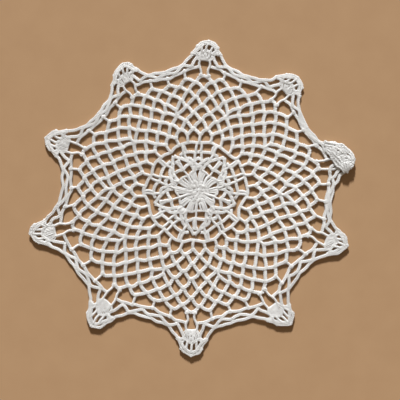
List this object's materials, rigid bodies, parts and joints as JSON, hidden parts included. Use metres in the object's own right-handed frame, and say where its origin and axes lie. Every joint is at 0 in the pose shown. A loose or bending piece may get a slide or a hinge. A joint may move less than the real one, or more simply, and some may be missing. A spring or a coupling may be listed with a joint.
{
  "type": "lace doily",
  "caption": "Round crocheted cotton lace doily with a star rosette, an open net of arches and pointed fans round its scalloped edge, laid flat on a table.",
  "frame": {"origin": "middle of the rosette on the underside, on the surface that the doily rests on", "axes": "+Z up, away from the surface; +X to the right and +Y up as the doily lies in the picture, seen from above"},
  "size_m": [0.3102, 0.3017, 0.0074],
  "materials": {
    "cotton": "matt, slightly fuzzy white crochet cotton"
  },
  "bodies": {
    "root": {"doily": "cotton"}
  },
  "joints": []
}
